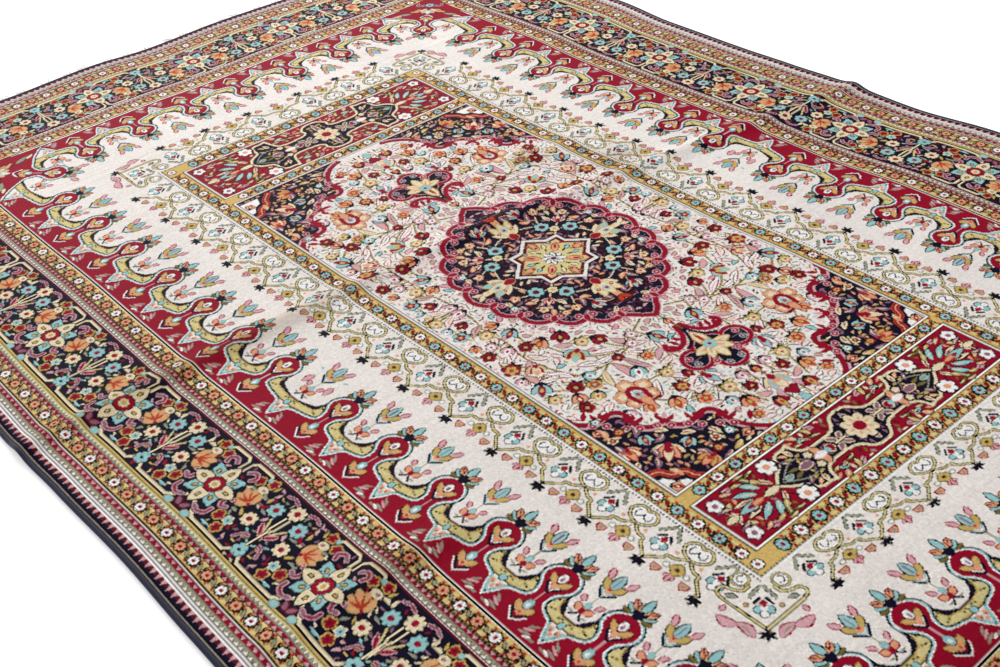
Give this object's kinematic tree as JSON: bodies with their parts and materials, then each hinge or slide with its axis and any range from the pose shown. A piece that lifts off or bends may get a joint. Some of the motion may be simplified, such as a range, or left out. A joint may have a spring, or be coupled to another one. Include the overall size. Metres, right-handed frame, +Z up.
{
  "type": "persian rug",
  "caption": "Rectangular hand-knotted pile rug with a central medallion, scalloped and floral borders, overcast sides and short fringe at both ends, lying flat with soft creases.",
  "frame": {"origin": "on the floor under the middle of the rug's bounding box", "axes": "+X across the rug, +Y along its length to the far end in the picture, +Z up from the floor"},
  "size_m": [1.0238, 1.514, 0.0095],
  "materials": {
    "pile": "silky short cut pile in navy, crimson, gold, ivory, light blue and peach",
    "selvedge_yarn": "matte overcast yarn",
    "warp_yarn": "matte undyed warp"
  },
  "bodies": {
    "root": {"pile_carpet": "pile", "selvedge_left": "selvedge_yarn", "selvedge_right": "selvedge_yarn", "fringe_far": "warp_yarn", "fringe_near": "warp_yarn"}
  },
  "joints": []
}
